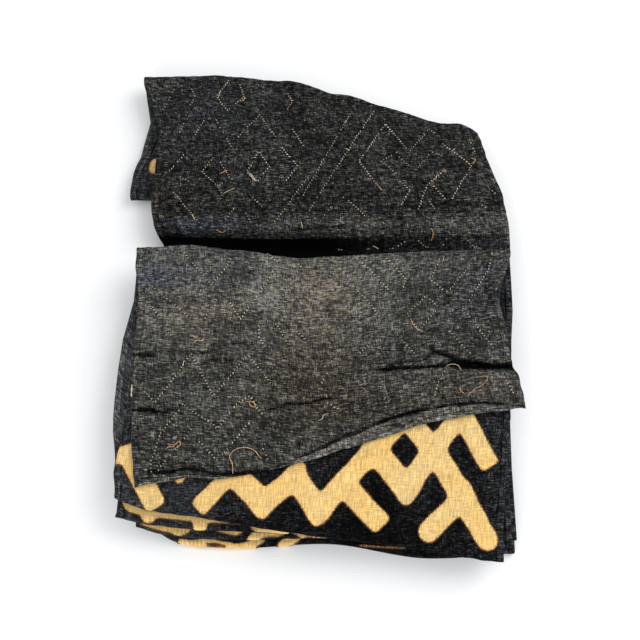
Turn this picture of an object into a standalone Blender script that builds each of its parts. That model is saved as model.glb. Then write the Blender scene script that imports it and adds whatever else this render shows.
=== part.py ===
"""Kuba cloth runner, folded back and forth into a loose pile.

One long raffia cloth. It starts at the bottom of the pile, goes back and forth
over itself, crosses low to a second pile behind, comes back over that pile,
dips into the trough between the two, and ends in a slanted hem on top.

Units are metres, +Z is up, +X is along the folds and -Y is the side the patched
front folds face. The origin is at the middle of the pile's footprint, on the
surface that it lies on.
"""
import math
from collections import namedtuple

import bmesh
import bpy

# ------------------------------------------------------------ driving sizes
CLOTH_THICKNESS = 0.002        # ground cloth with its patches, pressed
CLOTH_WIDTH = 0.610            # nominal width across the hems
COLUMNS = 16                   # facets across the width
FOLD_STEPS = 6                 # facets round each fold
MM = 0.001
FLOOR_Z = CLOTH_THICKNESS / 2  # middle of a layer that lies on the surface

# ------------------------------------------------------------ the pile
# One row for each fold and for each section that the cloth passes through, from
# the hem at the bottom to the hem on top. Lengths in millimetres.
#   kind   hem: a free end; lay: a section of a layer; front, back: a fold whose
#          nose points to -Y or +Y
#   xl xr  where the left and right edges are
#   y0..y4 the section's line, or the fold's nose, at 0, 1/4, 1/2, 3/4 and all
#          of the width
#   zl zm zr  height of the middle of the cloth (of the fold's middle) at the
#          left, in the middle and at the right
#   open   height between the two layers that a fold joins
#   cut    how far the left corner is drawn back
#   steps  facets on the way to the next row
Row = namedtuple("Row", "name kind xl xr y0 y1 y2 y3 y4 zl zm zr open cut steps")

PILE = [
    Row("bottom hem",       "hem",  -262, 316,   40,   20,   40,   60,  100,  1,  1,  1,  0,  0, 4),
    Row("lowest fold",      "front", -266, 303, -352, -356, -350, -371, -364, 6,  6,  6, 10, 30, 4),
    Row("lowest back",      "back", -276, 318,   76,   66,   76,   96,  112, 15, 15, 15,  8,  0, 4),
    Row("second fold",      "front", -286, 304, -338, -345, -342, -345, -346, 23, 23, 23, 8, 14, 4),
    Row("second back",      "back", -292, 312,   70,   64,   72,   94,  108, 31, 31, 31,  8,  0, 4),
    Row("third fold",       "front", -311, 293, -323, -333, -338, -347, -358, 40, 40, 40, 9, 12, 4),
    Row("low run top",      "lay",  -300, 308,   72,   72,   70,   72,   74, 44, 44, 46,  0,  0, 4),
    Row("low run down",     "lay",  -282, 316,  118,  118,  116,  118,  120, 10, 10, 38,  0,  0, 3),
    Row("low run floor",    "lay",  -277, 318,  150,  150,  150,  152,  158,  1,  1, 28,  0,  0, 3),
    Row("low run rear",     "lay",  -284, 316,  226,  224,  222,  226,  240,  1,  1,  1,  0,  0, 3),
    Row("rear bottom fold", "back", -312, 284,  482,  484,  460,  412,  366,  6,  6,  6, 10,  0, 3),
    Row("side tab fold",    "front", -340, 300,  250,  240,  230,  224,  222, 17, 17, 22, 11, 0, 2),
    Row("side tab",         "lay",  -308, 292,  369,  366,  350,  330,  316, 23, 23, 26,  0,  0, 2),
    Row("rear top fold",    "back", -330, 289,  499,  501,  477,  428,  383, 32, 32, 34, 17,  0, 2),
    Row("rear top, back",   "lay",  -302, 294,  402,  402,  390,  364,  346, 43, 44, 45,  0,  0, 2),
    Row("rear top, middle", "lay",  -295, 302,  314,  314,  314,  312,  308, 46, 47, 48,  0,  0, 2),
    Row("rear top, front",  "lay",  -298, 322,  233,  233,  233,  232,  230, 46, 46, 55,  0,  0, 2),
    Row("brow",             "lay",  -290, 324,  188,  184,  184,  186,  186, 43, 42, 60,  0,  0, 3),
    Row("trough side",      "lay",  -282, 324,  172,  168,  168,  168,  160, 26, 26, 60,  0,  0, 2),
    Row("trough floor",     "lay",  -273, 324,  154,  152,  152,  146,  136, 11, 11, 58,  0,  0, 3),
    Row("trough front",     "lay",  -284, 322,  112,  110,  106,  108,  110, 38, 38, 54,  0,  0, 2),
    Row("under run, back",  "lay",  -306, 314,   72,   72,   70,   70,   72, 52, 52, 54,  0,  0, 2),
    Row("under run",        "lay",  -330, 300, -132, -132, -132, -132, -132, 52, 52, 53,  0,  0, 3),
    Row("patched fold",     "front", -316, 274, -301, -318, -341, -359, -380, 57, 57, 57, 10, 16, 2),
    Row("patched top",      "lay",  -319, 290, -244, -244, -244, -244, -244, 62, 62, 62,  0,  0, 2),
    Row("patched, middle",  "lay",  -306, 304, -132, -132, -132, -132, -132, 62, 62, 62,  0,  0, 3),
    Row("upper back fold",  "back", -310, 322,  132,  126,  116,  123,  127, 67, 67, 67, 10,  0, 2),
    Row("top, back",        "lay",  -301, 303,   34,   34,   34,   34,   34, 73, 73, 73,  0,  0, 2),
    Row("top, middle",      "lay",  -300, 311,  -69,  -69,  -69,  -69,  -69, 72, 72, 72,  0,  0, 2),
    Row("top, front",       "lay",  -296, 320, -167, -165, -150, -128, -112, 71, 71, 71,  0,  0, 2),
    Row("top hem",          "hem",  -283, 325, -265, -254, -219, -172, -147, 69, 69, 69,  0,  0, 0),
]


# ------------------------------------------------------------ shape functions
def across(values, u):
    """A smooth line through evenly spaced values, read at u from 0 to 1."""
    n = len(values) - 1
    s = min(max(u, 0.0), 1.0) * n
    i = min(int(s), n - 1)
    f = s - i
    p0 = values[max(i - 1, 0)]
    p1, p2 = values[i], values[i + 1]
    p3 = values[min(i + 2, n)]
    m1, m2 = (p2 - p0) / 2, (p3 - p1) / 2
    return ((2 * f**3 - 3 * f**2 + 1) * p1 + (f**3 - 2 * f**2 + f) * m1
            + (-2 * f**3 + 3 * f**2) * p2 + (f**3 - f**2) * m2)


def section_point(row, u):
    """The row's point at u across the width, in metres."""
    side = {"front": -1.0, "back": 1.0}.get(row.kind, 0.0)
    y = across((row.y0, row.y1, row.y2, row.y3, row.y4), u)
    y -= side * row.cut * math.exp(-((u / 0.05) ** 1.2))
    x = row.xl + (row.xr - row.xl) * u
    z = across((row.zl, row.zm, row.zr), u)
    return x * MM, y * MM, z * MM


def anchors(u):
    """The cloth's route at u: points, each with a heading where it leaves a fold,
    and the round fold between the two points that share a fold."""
    route = []
    for row in PILE:
        x, y, z = section_point(row, u)
        if row.kind in ("front", "back"):
            side = -1.0 if row.kind == "front" else 1.0
            r = row.open * MM / 2
            yc = y - side * r
            arc = []
            for k in range(FOLD_STEPS + 1):
                a = math.pi * k / FOLD_STEPS - math.pi / 2
                arc.append((x, yc + side * r * math.cos(a), z + r * math.sin(a)))
            route.append((arc[0], (0.0, side, 0.0), arc, row.steps))
            route.append((arc[-1], (0.0, -side, 0.0), None, row.steps))
        else:
            route.append(((x, y, z), None, None, row.steps))
    return route


def between(p, q):
    return math.dist(p, q)


def eased(a, b):
    """The slope at a point between slopes a and b, with no overshoot."""
    if a * b <= 0:
        return 0.0
    mean = (a + b) / 2
    limit = 1.6 * min(abs(a), abs(b))
    return math.copysign(min(abs(mean), limit), mean)


def headings(route):
    """A direction for each point of the route, per metre of way."""
    out = []
    last = len(route) - 1
    for i, (p, given, _arc, _steps) in enumerate(route):
        if given is not None:
            out.append(given)
        elif i == 0 or i == last:
            a, b = (p, route[1][0]) if i == 0 else (route[last - 1][0], p)
            d = between(a, b)
            out.append(tuple((b[k] - a[k]) / d for k in range(3)))
        else:
            a, b = route[i - 1][0], route[i + 1][0]
            d1, d2 = between(a, p), between(p, b)
            out.append(tuple(eased((p[k] - a[k]) / d1, (b[k] - p[k]) / d2) for k in range(3)))
    return out


def way(u):
    """All points of the cloth's middle surface at u, from the bottom hem to the top."""
    route = anchors(u)
    head = headings(route)
    points = [route[0][0]]
    for i in range(len(route) - 1):
        p, _given, arc, _ = route[i]
        q = route[i + 1][0]
        if arc is not None:
            points.extend(arc[1:])
            continue
        d = between(p, q)
        n = route[i][3]
        for k in range(1, n + 1):
            f = k / n
            h1, h2 = 2 * f**3 - 3 * f**2 + 1, f**3 - 2 * f**2 + f
            h3, h4 = -2 * f**3 + 3 * f**2, f**3 - f**2
            points.append(tuple(h1 * p[j] + h2 * d * head[i][j] + h3 * q[j] + h4 * d * head[i + 1][j]
                                for j in range(3)))
    return [(x, y, max(z, FLOOR_Z)) for x, y, z in points]


# ------------------------------------------------------------ build
def clear_scene():
    for ob in list(bpy.data.objects):
        bpy.data.objects.remove(ob, do_unlink=True)


def raffia(name, colour, roughness):
    mat = bpy.data.materials.new(name)
    mat.use_nodes = True
    shader = mat.node_tree.nodes["Principled BSDF"]
    shader.inputs["Base Color"].default_value = (*colour, 1.0)
    shader.inputs["Roughness"].default_value = roughness
    shader.inputs["Metallic"].default_value = 0.0
    return mat


def make_cloth():
    """The folded cloth: an open surface lofted through its sections, thickened."""
    rows = [way(c / COLUMNS) for c in range(COLUMNS + 1)]
    xs = [p[0] for line in rows for p in line]
    ys = [p[1] for line in rows for p in line]
    cx, cy = (min(xs) + max(xs)) / 2, (min(ys) + max(ys)) / 2

    mesh = bpy.data.meshes.new("kuba_cloth")
    bm = bmesh.new()
    grid = [[bm.verts.new((x - cx, y - cy, z)) for x, y, z in line] for line in rows]
    for left, right in zip(grid, grid[1:]):
        for k in range(len(left) - 1):
            bm.faces.new((left[k], right[k], right[k + 1], left[k + 1]))
    bm.normal_update()
    bm.to_mesh(mesh)
    bm.free()

    cloth = bpy.data.objects.new("kuba_cloth", mesh)
    cloth.data.materials.append(raffia("black_raffia", (0.035, 0.035, 0.04), 0.85))
    thick = cloth.modifiers.new("thickness", "SOLIDIFY")
    thick.thickness = CLOTH_THICKNESS
    thick.offset = 0.0
    thick.use_even_offset = True
    thick.use_quality_normals = True
    cloth["footprint_centre_mm"] = (cx / MM, cy / MM)
    return cloth


def main():
    clear_scene()
    group = bpy.data.collections.new("kuba_cloth_runner")
    bpy.context.scene.collection.children.link(group)
    group.objects.link(make_cloth())


main()
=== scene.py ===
import math
from collections import namedtuple

import bpy
import numpy as np
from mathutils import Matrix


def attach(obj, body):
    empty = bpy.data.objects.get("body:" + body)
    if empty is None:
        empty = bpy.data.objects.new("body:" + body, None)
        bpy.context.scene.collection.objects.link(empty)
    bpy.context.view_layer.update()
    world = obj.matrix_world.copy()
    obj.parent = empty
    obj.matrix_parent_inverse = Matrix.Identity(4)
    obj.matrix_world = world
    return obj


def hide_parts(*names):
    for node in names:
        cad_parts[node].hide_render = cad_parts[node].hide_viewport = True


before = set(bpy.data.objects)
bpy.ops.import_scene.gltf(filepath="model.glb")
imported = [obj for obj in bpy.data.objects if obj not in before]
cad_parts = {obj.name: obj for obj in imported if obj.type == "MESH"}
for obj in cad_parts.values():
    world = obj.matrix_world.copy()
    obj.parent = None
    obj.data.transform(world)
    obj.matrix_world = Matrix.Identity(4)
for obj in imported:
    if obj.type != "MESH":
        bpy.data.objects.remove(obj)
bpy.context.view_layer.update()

MM = 0.001
RNG = np.random.default_rng(41)

# ============================================================ the pile
# The same folds and sections as the solid, in millimetres, with finer steps.
WIDTH = 610.0                      # across the hems
COLS = 104                         # facets across
CENTRE = (-7.5, 61.140625)         # middle of the footprint in the table's frame
Row = namedtuple("Row", "name kind xl xr y0 y1 y2 y3 y4 zl zm zr open cut steps")
PILE = [
    Row("bottom hem",       "hem",  -262, 316,   40,   20,   40,   60,  100,  1,  1,  1,  0,  0, 4),
    Row("lowest fold",      "front", -266, 303, -352, -356, -350, -371, -364, 6,  6,  6, 10, 30, 4),
    Row("lowest back",      "back", -276, 318,   76,   66,   76,   96,  112, 15, 15, 15,  8,  0, 4),
    Row("second fold",      "front", -286, 304, -338, -345, -342, -345, -346, 23, 23, 23, 8, 14, 4),
    Row("second back",      "back", -292, 312,   70,   64,   72,   94,  108, 31, 31, 31,  8,  0, 4),
    Row("third fold",       "front", -311, 293, -323, -333, -338, -347, -358, 40, 40, 40, 9, 12, 4),
    Row("low run top",      "lay",  -300, 308,   72,   72,   70,   72,   74, 44, 44, 46,  0,  0, 3),
    Row("low run down",     "lay",  -282, 316,  118,  118,  116,  118,  120, 10, 10, 38,  0,  0, 4),
    Row("low run floor",    "lay",  -277, 318,  150,  150,  150,  152,  158,  1,  1, 28,  0,  0, 4),
    Row("low run rear",     "lay",  -284, 316,  226,  224,  222,  226,  240,  1,  1,  1,  0,  0, 4),
    Row("rear bottom fold", "back", -312, 284,  482,  484,  460,  412,  366,  6,  6,  6, 10,  0, 4),
    Row("side tab fold",    "front", -340, 300,  250,  240,  230,  224,  222, 17, 17, 22, 11, 0, 12),
    Row("side tab",         "lay",  -308, 292,  369,  366,  350,  330,  316, 23, 23, 26,  0,  0, 4),
    Row("rear top fold",    "back", -330, 289,  499,  501,  477,  428,  383, 32, 32, 34, 17,  0, 24),
    Row("rear top, back",   "lay",  -302, 294,  402,  402,  390,  364,  346, 43, 44, 45,  0,  0, 22),
    Row("rear top, middle", "lay",  -295, 302,  314,  314,  314,  312,  308, 46, 47, 48,  0,  0, 20),
    Row("rear top, front",  "lay",  -298, 322,  233,  233,  233,  232,  230, 46, 46, 55,  0,  0, 14),
    Row("brow",             "lay",  -290, 324,  188,  184,  184,  186,  186, 43, 42, 60,  0,  0, 7),
    Row("trough side",      "lay",  -282, 324,  172,  168,  168,  168,  160, 26, 26, 60,  0,  0, 7),
    Row("trough floor",     "lay",  -273, 324,  154,  152,  152,  146,  136, 11, 11, 58,  0,  0, 8),
    Row("trough front",     "lay",  -284, 322,  112,  110,  106,  108,  110, 38, 38, 54,  0,  0, 4),
    Row("under run, back",  "lay",  -306, 314,   72,   72,   70,   70,   72, 52, 52, 54,  0,  0, 4),
    Row("under run",        "lay",  -330, 300, -132, -132, -132, -132, -132, 52, 52, 53,  0,  0, 6),
    Row("patched fold",     "front", -316, 274, -301, -318, -341, -359, -380, 57, 57, 57, 10, 16, 22),
    Row("patched top",      "lay",  -319, 290, -244, -244, -244, -244, -244, 62, 62, 62,  0,  0, 16),
    Row("patched, middle",  "lay",  -306, 304, -132, -132, -132, -132, -132, 62, 62, 62,  0,  0, 5),
    Row("upper back fold",  "back", -310, 322,  132,  126,  116,  123,  127, 67, 67, 67, 10,  0, 30),
    Row("top, back",        "lay",  -301, 303,   34,   34,   34,   34,   34, 73, 73, 73,  0,  0, 38),
    Row("top, middle",      "lay",  -300, 311,  -69,  -69,  -69,  -69,  -69, 72, 72, 72,  0,  0, 40),
    Row("top, front",       "lay",  -296, 320, -167, -165, -150, -128, -112, 71, 71, 71,  0,  0, 42),
    Row("top hem",          "hem",  -283, 325, -265, -254, -219, -172, -147, 69, 69, 69,  0,  0, 0),
]
ARC_STEPS = 8


def across(values, u):
    """A smooth line through evenly spaced values, read at the numbers u from 0 to 1."""
    v = np.asarray(values, float)
    n = len(v) - 1
    s = np.clip(u, 0, 1) * n
    i = np.minimum(s.astype(int), n - 1)
    f = s - i
    p0, p1, p2, p3 = v[np.maximum(i - 1, 0)], v[i], v[i + 1], v[np.minimum(i + 2, n)]
    m1, m2 = (p2 - p0) / 2, (p3 - p1) / 2
    return ((2 * f**3 - 3 * f**2 + 1) * p1 + (f**3 - 2 * f**2 + f) * m1
            + (-2 * f**3 + 3 * f**2) * p2 + (f**3 - f**2) * m2)


def eased(a, b):
    mean = (a + b) / 2
    limit = 1.6 * np.minimum(abs(a), abs(b))
    return np.where(a * b <= 0, 0.0, np.sign(mean) * np.minimum(abs(mean), limit))


def smooth(a, b, x):
    t = np.clip((x - a) / (b - a), 0, 1)
    return t * t * (3 - 2 * t)


def value_noise(x, y, seed):
    """Smooth noise from -1 to 1, about one bump a unit."""
    def corner(i, j):
        h = (i * 374761393 + j * 668265263 + seed * 974634777) & 0xFFFFFFFF
        h = ((h ^ (h >> 13)) * 1274126177) & 0xFFFFFFFF
        return ((h ^ (h >> 16)) & 0xFFFF) / 32767.5 - 1
    xi, yi = np.floor(x).astype(np.int64), np.floor(y).astype(np.int64)
    fx, fy = x - xi, y - yi
    fx, fy = fx * fx * (3 - 2 * fx), fy * fy * (3 - 2 * fy)
    a, b = corner(xi, yi), corner(xi + 1, yi)
    c, d = corner(xi, yi + 1), corner(xi + 1, yi + 1)
    return (a * (1 - fx) + b * fx) * (1 - fy) + (c * (1 - fx) + d * fx) * fy


def fold_route(u):
    """Middle surface of the cloth in mm, as an array (columns, rows, 3), and where each table row lies in it."""
    anchors, heads, arcs, steps, names = [], [], [], [], []
    for row in PILE:
        side = {"front": -1.0, "back": 1.0}.get(row.kind, 0.0)
        y = across((row.y0, row.y1, row.y2, row.y3, row.y4), u)
        y = y - side * row.cut * np.exp(-((u / 0.05) ** 1.2))
        x = row.xl + (row.xr - row.xl) * u
        z = across((row.zl, row.zm, row.zr), u)
        if side:
            r = row.open / 2
            yc = y - side * r
            arc = [np.stack([x, yc + side * r * math.cos(a), z + r * math.sin(a)], 1)
                   for a in (math.pi * k / ARC_STEPS - math.pi / 2 for k in range(ARC_STEPS + 1))]
            along = np.zeros((len(u), 3)); along[:, 1] = side
            anchors += [arc[0], arc[-1]]
            heads += [along, -along]
            arcs += [arc, None]
            steps += [None, row.steps]
            names += [row.name, None]
        else:
            anchors.append(np.stack([x, y, z], 1))
            heads.append(None); arcs.append(None); steps.append(row.steps); names.append(row.name)
    last = len(anchors) - 1
    for i in range(last + 1):
        if heads[i] is not None:
            continue
        a, p, b = anchors[max(i - 1, 0)], anchors[i], anchors[min(i + 1, last)]
        d1 = np.maximum(np.linalg.norm(p - a, axis=1), 1e-9)[:, None]
        d2 = np.maximum(np.linalg.norm(b - p, axis=1), 1e-9)[:, None]
        heads[i] = (b - p) / d2 if i == 0 else (p - a) / d1 if i == last else eased((p - a) / d1, (b - p) / d2)
    points, where = [anchors[0]], {}
    for i in range(last):
        if names[i]:
            where[names[i]] = len(points) - 1
        if arcs[i] is not None:
            where[names[i]] = len(points) - 1 + ARC_STEPS // 2
            points += arcs[i][1:]
            continue
        p, q = anchors[i], anchors[i + 1]
        d = np.linalg.norm(q - p, axis=1)[:, None]
        for k in range(1, steps[i] + 1):
            f = k / steps[i]
            points.append((2 * f**3 - 3 * f**2 + 1) * p + (f**3 - 2 * f**2 + f) * d * heads[i]
                          + (-2 * f**3 + 3 * f**2) * q + (f**3 - f**2) * d * heads[i + 1])
    where[names[last]] = len(points) - 1
    grid = np.stack(points, 1)
    grid[..., 2] = np.maximum(grid[..., 2], 1.0)
    return grid, where


U = np.linspace(0, 1, COLS + 1)
BASE, AT = fold_route(U)
NU, NW = BASE.shape[:2]
STEP = np.linalg.norm(np.diff(BASE, axis=1), axis=2)
RUN = np.concatenate([np.zeros((NU, 1)), np.cumsum(STEP, axis=1)], axis=1)   # mm from the bottom hem
S = np.repeat((U * WIDTH)[:, None], NW, 1)                                   # mm from the left hem
TO_END = np.minimum(RUN, RUN[:, -1:] - RUN)

# Chart coordinate along the cloth: measured from a straight reference line in each part that shows.
PARTS = [
    # part, first row, last row, reference row
    ("bottom", "bottom hem", "lowest back", "lowest fold"),
    ("second", "lowest back", "second back", "second fold"),
    ("third", "second back", "low run down", "third fold"),
    ("tab", "low run down", "rear top fold", "side tab fold"),
    ("rear", "rear top fold", "trough front", "rear top, middle"),
    ("top", "trough front", "top hem", "patched, middle"),
]
PART_OF = {name: (AT[a], AT[b], RUN - RUN[:, AT[r]][:, None]) for name, a, b, r in PARTS}
T = np.zeros_like(RUN)
for name, (a, b, run) in PART_OF.items():
    T[:, a:b + 1] = run[:, a:b + 1]

# ------------------------------------------------------------ wrinkles
# Each is a soft trough (deep below zero) or ridge along a line on the top cloth, in mm:
# layer, depth, half width, dark (painted shade along the line; below zero, painted highlight on a ridge), then the
# points of its line in the table's frame.
Crease = namedtuple("Crease", "part depth half dark line")
CREASES = [
    Crease("top", -4.4, 3.4, 0.94, [(180, -51), (193, -57), (209, -63), (225, -67), (240, -70), (256, -73)]),
    Crease("top", -7.0, 6.6, 0.995, [(214, -73.5), (227, -75), (248, -76.5), (272, -78), (325, -78.5)]),
    Crease("top", 3.0, 2.6, -0.55, [(125, -79), (152, -77), (176, -75), (190, -71), (205, -67.5), (220, -70), (232, -73)]),
    Crease("top", 2.4, 5.5, -0.28, [(150, -62), (176, -50), (206, -54), (240, -61), (280, -68), (325, -70)]),
    Crease("top", 2.8, 5.5, -0.22, [(190, -90), (222, -92), (260, -94), (325, -95)]),
    Crease("top", -2.8, 3.1, 0.97, [(92, -85), (115, -84), (128, -82.5), (160, -81), (184, -79), (204, -76)]),
    Crease("top", -2.4, 2.7, 0.85, [(101, -83), (115, -79), (128, -74), (144, -71), (160, -71), (173, -66), (183, -57)]),
    Crease("top", -3.4, 3.3, 0.90, [(-314, -60), (-296, -59), (-286, -59), (-273, -61), (-264, -62)]),
    Crease("top", -1.5, 2.8, 0.60, [(-274, -56), (-250, -54), (-225, -54), (-201, -58), (-177, -56)]),
    Crease("top", -3.4, 3.3, 0.90, [(-305, -150), (-283, -150), (-272, -150), (-259, -153)]),
    Crease("top", -1.8, 2.8, 0.75, [(-259, -153), (-243, -155), (-228, -148), (-213, -139)]),
    Crease("top", -2.2, 2.5, 0.78, [(-192, -79), (-184, -73), (-173, -69), (-157, -69), (-141, -69)]),
    Crease("top", -1.6, 2.4, 0.75, [(-142, -41), (-126, -41), (-110, -39)]),
    Crease("top", -2.9, 2.6, 0.96, [(-82, -151), (-71, -150), (-55, -142), (-44, -141), (-31, -141), (-19, -140), (-8, -137), (3, -134), (19, -132)]),
    Crease("top", 1.7, 5.0, -0.25, [(-98, -162), (-64, -155), (-30, -150), (24, -143)]),
    Crease("top", -3.2, 3.7, 0.95, [(-262, -246), (-245, -249), (-214, -246), (-184, -247), (-161, -249), (-145, -250), (-115, -250), (-95, -247)]),
    Crease("top", -1.6, 2.4, 0.60, [(-95, -247), (-77, -242), (-46, -233), (-26, -222)]),
    Crease("top", -2.6, 2.6, 0.88, [(-26, -222), (0, -210), (23, -201), (47, -188)]),
    Crease("top", -2.0, 2.5, 0.72, [(47, -188), (78, -177), (102, -167)]),
    Crease("top", -3.4, 3.6, 0.94, [(98, -169), (112, -163), (125, -160), (150, -155)]),
    Crease("top", -2.4, 2.5, 0.85, [(150, -154), (181, -148), (205, -142), (236, -139), (268, -139), (299, -142), (325, -146)]),
    Crease("top", -1.2, 3.0, 0.40, [(-250, -236), (-225, -234), (-195, -236), (-160, -240)]),
    Crease("top", -1.5, 6.0, 0.55, [(88, -170), (110, -176), (128, -172)]),
    Crease("top", -1.2, 8.0, 0.45, [(-128, 79), (-115, 78)]),
    Crease("top", -1.2, 9.0, 0.35, [(-175, -5), (-160, -8)]),
    Crease("top", 1.3, 14.0, 0.00, [(-290, -40), (-200, -30), (-100, -46), (0, -30)]),
    Crease("top", -1.1, 12.0, 0.00, [(-120, 60), (-60, 20), (-40, -60), (-70, -120)]),
    Crease("top", 1.3, 16.0, 0.00, [(60, 90), (110, 20), (90, -40)]),
    Crease("top", 1.2, 4.6, -0.30, [(234, 30), (235, 0), (237, -40)]),
    Crease("top", -1.0, 3.2, 0.40, [(-238, -34), (-239, -52), (-240, -66)]),
    Crease("top", -1.2, 6.0, 0.30, [(-70, -40), (-66, -80), (-72, -118)]),
    Crease("top", -1.2, 5.0, 0.30, [(30, -150), (60, -148), (92, -150)]),
    Crease("top", -1.3, 5.0, 0.36, [(281, 118), (283, 70), (284, 30)]),
    Crease("top", 1.2, 9.0, 0.00, [(-140, 85), (-60, 75), (-20, 60)]),
    Crease("top", -1.2, 6.0, 0.34, [(-285, 40), (-240, 30), (-190, 34)]),
    Crease("top", 1.2, 8.0, 0.00, [(60, -110), (120, -112), (180, -128)]),
    Crease("top", -1.1, 5.0, 0.31, [(-220, -100), (-150, -96), (-90, -104)]),
    Crease("rear", -1.9, 2.6, 0.75, [(-45, 179), (-9, 181), (17, 182), (43, 184), (70, 191)]),
    Crease("rear", -1.9, 2.6, 0.70, [(104, 193), (122, 197), (139, 197)]),
    Crease("rear", -1.5, 2.6, 0.45, [(139, 197), (174, 193), (209, 193), (233, 195), (335, 200)]),
    Crease("rear", 1.6, 10.0, 0.00, [(-60, 170), (40, 180), (140, 184), (240, 184), (335, 186)]),
    Crease("rear", -1.5, 3.0, 0.42, [(-60, 268), (-25, 262), (0, 259)]),
    Crease("rear", -1.5, 2.4, 0.70, [(-85, 424), (-73, 424), (-62, 429)]),
    Crease("rear", -1.1, 7.0, 0.31, [(-300, 300), (-200, 292), (-100, 300)]),
    Crease("rear", 1.2, 12.0, 0.00, [(-240, 440), (-150, 400), (-120, 330)]),
    Crease("rear", -1.3, 9.0, 0.00, [(20, 440), (60, 390), (40, 320), (80, 260)]),
    Crease("rear", 1.3, 12.0, 0.00, [(120, 400), (150, 330), (230, 290)]),
    Crease("rear", 1.0, 8.0, 0.00, [(-280, 235), (-180, 228), (-60, 236)]),
    Crease("rear", -1.0, 6.0, 0.28, [(-280, 215), (-180, 212), (-60, 222)]),
    Crease("rear", -1.6, 5.0, 0.45, [(150, 222), (220, 220), (325, 222)]),
]


def near_line(x, y, line):
    """Distance from each (x, y) to a line of points."""
    best = np.full(x.shape, 1e9)
    for (ax, ay), (bx, by) in zip(line, line[1:]):
        dx, dy = bx - ax, by - ay
        f = np.clip(((x - ax) * dx + (y - ay) * dy) / (dx * dx + dy * dy), 0, 1)
        best = np.minimum(best, np.hypot(x - ax - f * dx, y - ay - f * dy))
    return best


X, Y, Z = BASE[..., 0], BASE[..., 1], BASE[..., 2]
HIGH = np.clip((Z - 1) / 70, 0, 1)
EDGE = np.minimum(S, WIDTH - S)
row_no = np.arange(NW)


def rows_between(first, last, soft=4):
    """1 on the rows between two named rows, fading over a few rows outside them."""
    a, b = AT[first], AT[last]
    return (smooth(a - soft, a, row_no) * (1 - smooth(b, b + soft, row_no)))[None, :]


def bump_at(v, centre, half):
    return np.exp(-((v - centre) / half) ** 2)


# what lies in a pile swells and sinks together
SWELL = (2.0 * value_noise(X / 120 + 5, Y / 95, 3) + 1.3 * value_noise(X / 47, Y / 39 + 9, 7)
         + 0.9 * value_noise(X / 21 + 3, Y / 17, 8))
DROOP = -3.2 * np.exp(-EDGE / 26)
LIFT = (SWELL + DROOP) * HIGH
top_part = smooth(AT["upper back fold"] - 4, AT["upper back fold"] + 5, row_no)[None, :] * np.ones((NU, 1))
rear_part = rows_between("rear top fold", "trough side", 6) * np.ones((NU, 1))
for c in CREASES:
    part = top_part if c.part == "top" else rear_part
    wobble = 1 + 0.35 * value_noise(X / 31, Y / 27, 11)
    LIFT = LIFT + part * c.depth * wobble * np.exp(-(near_line(X, Y, c.line) / c.half) ** 2)
# small puckers in each layer, along the stitch lines and threads
PUCKER = (0.70 * value_noise(S / 17, T / 12, 21) + 0.50 * value_noise(S / 9, T / 21 + 4, 22)
          + 0.38 * value_noise(S / 8, T / 6 + 4, 23)) * smooth(0, 25, Z)
BODY = BASE.copy()
BODY[..., 2] += LIFT
# hems pull in and out a little, and so do the long folds
side_pull = (1.3 * value_noise(T / 38, S * 0 + 2, 31) + 0.8 * value_noise(T / 13, S * 0 + 5, 32))
BODY[..., 0] += side_pull * (np.exp(-S / 30) + np.exp(-(WIDTH - S) / 30)) * np.sign(S - WIDTH / 2)
right, left = np.exp(-(WIDTH - S) / 60), np.exp(-S / 60)
BODY[..., 0] += top_part * right * (-6.0 * bump_at(Y, 45, 45) - 3.0 * bump_at(Y, -60, 25))
BODY[..., 0] += top_part * left * (-3.0 * bump_at(Y, 95, 18) - 4.0 * bump_at(Y, -85, 40))
BODY[..., 0] += rows_between("side tab fold", "side tab", 3) * np.exp(-S / 30) * (-13.0 * bump_at(Y, 325, 45))
BODY[..., 0] += rows_between("third fold", "third fold", 8) * left * -5.0
BODY[..., 1] += rows_between("upper back fold", "upper back fold", 9) * (
    -8.0 * bump_at(X, -45, 55) + 6.0 * bump_at(X, -215, 45) - 1.5 * bump_at(X, 90, 60))
BODY[..., 1] += rows_between("rear top fold", "rear top fold", 9) * (
    6.0 * bump_at(X, -45, 30) - 5.0 * bump_at(X, 18, 20) + 4.0 * bump_at(X, 60, 28)
    + 7.0 * bump_at(X, 258, 22) - 4.0 * bump_at(X, 200, 30) - 8.0 * bump_at(X, 292, 10))
end_part = np.exp(-(RUN[:, -1:] - RUN) / 22)
BODY[..., 1] += end_part * (1.8 * value_noise(S / 24, S * 0, 35) + 5.0 * bump_at(X, -200, 22)
                            - 9.0 * bump_at(X, -290, 20) + 2.5 * bump_at(X, 40, 30))


def normals(grid):
    du = np.gradient(grid, axis=0)
    dw = np.gradient(grid, axis=1)
    n = np.cross(du, dw)
    return n / np.maximum(np.linalg.norm(n, axis=2, keepdims=True), 1e-12)


NORMAL = normals(BODY)                       # towards the patched face of the cloth
BODY = BODY + NORMAL * PUCKER[..., None]
NORMAL = normals(BODY)


def to_world(p):
    q = np.array(p, float)
    q[..., 0] -= CENTRE[0]
    q[..., 1] -= CENTRE[1]
    q[..., 2] = np.maximum(q[..., 2], 0.02)
    return q * MM


# ============================================================ looking up a point on the cloth
def at_grid(field, ui, wi):
    """Reads a grid at column ui and row wi, both with fractions."""
    i = np.clip(np.floor(ui).astype(int), 0, NU - 2)
    j = np.clip(np.floor(wi).astype(int), 0, NW - 2)
    f, g = ui - i, wi - j
    if field.ndim == 3:
        f, g = f[..., None], g[..., None]
    return ((field[i, j] * (1 - f) + field[i + 1, j] * f) * (1 - g)
            + (field[i, j + 1] * (1 - f) + field[i + 1, j + 1] * f) * g)


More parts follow.
